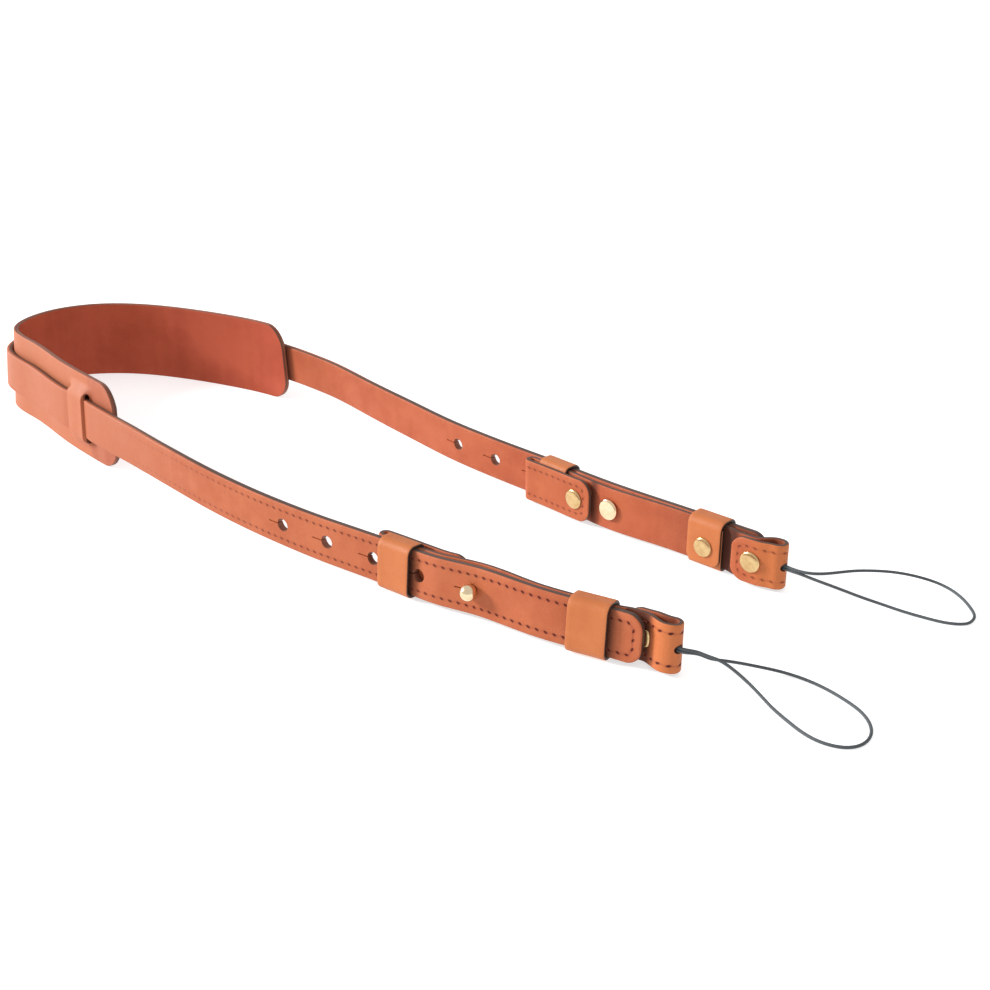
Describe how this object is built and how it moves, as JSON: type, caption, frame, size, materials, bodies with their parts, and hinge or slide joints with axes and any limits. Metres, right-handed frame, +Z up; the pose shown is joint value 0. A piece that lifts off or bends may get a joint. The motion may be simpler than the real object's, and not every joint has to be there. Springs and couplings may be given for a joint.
{
  "type": "leather camera shoulder strap",
  "caption": "Long leather shoulder strap with a wide pad, punched adjustable arms with keepers and ball studs, and a cord loop at each end for a camera.",
  "frame": {"origin": "centre of the strap's outline on the surface that it stands on, the cord loops left out", "axes": "+X from the shoulder pad towards the cord loops, +Y from the arm with the shown ball stud towards the other arm, +Z up across the strap's width"},
  "size_m": [0.4245, 0.1243, 0.0341],
  "materials": {
    "strap_leather": "smooth tan leather, satin",
    "lining_leather": "smooth brown leather, matte",
    "keeper_leather": "smooth light tan leather, satin",
    "stud_brass": "polished",
    "rivet_brass": "polished",
    "cord": "dark grey braided cord"
  },
  "bodies": {
    "root": {"main_strap": "strap_leather", "pad_outer": "strap_leather", "pad_lining": "lining_leather", "connector_near": "strap_leather", "connector_far": "strap_leather", "keeper_1_near": "keeper_leather", "keeper_1_far": "keeper_leather", "keeper_2_near": "keeper_leather", "keeper_2_far": "keeper_leather", "stud_near": "stud_brass", "stud_far": "stud_brass", "flap_rivet_near": "rivet_brass", "flap_rivet_far": "rivet_brass", "keeper_rivet_near": "rivet_brass", "keeper_rivet_far": "rivet_brass", "tab_rivet_near": "rivet_brass", "tab_rivet_far": "rivet_brass", "string_near": "cord", "string_far": "cord", "string_knot_near": "cord", "string_knot_far": "cord"}
  },
  "joints": []
}
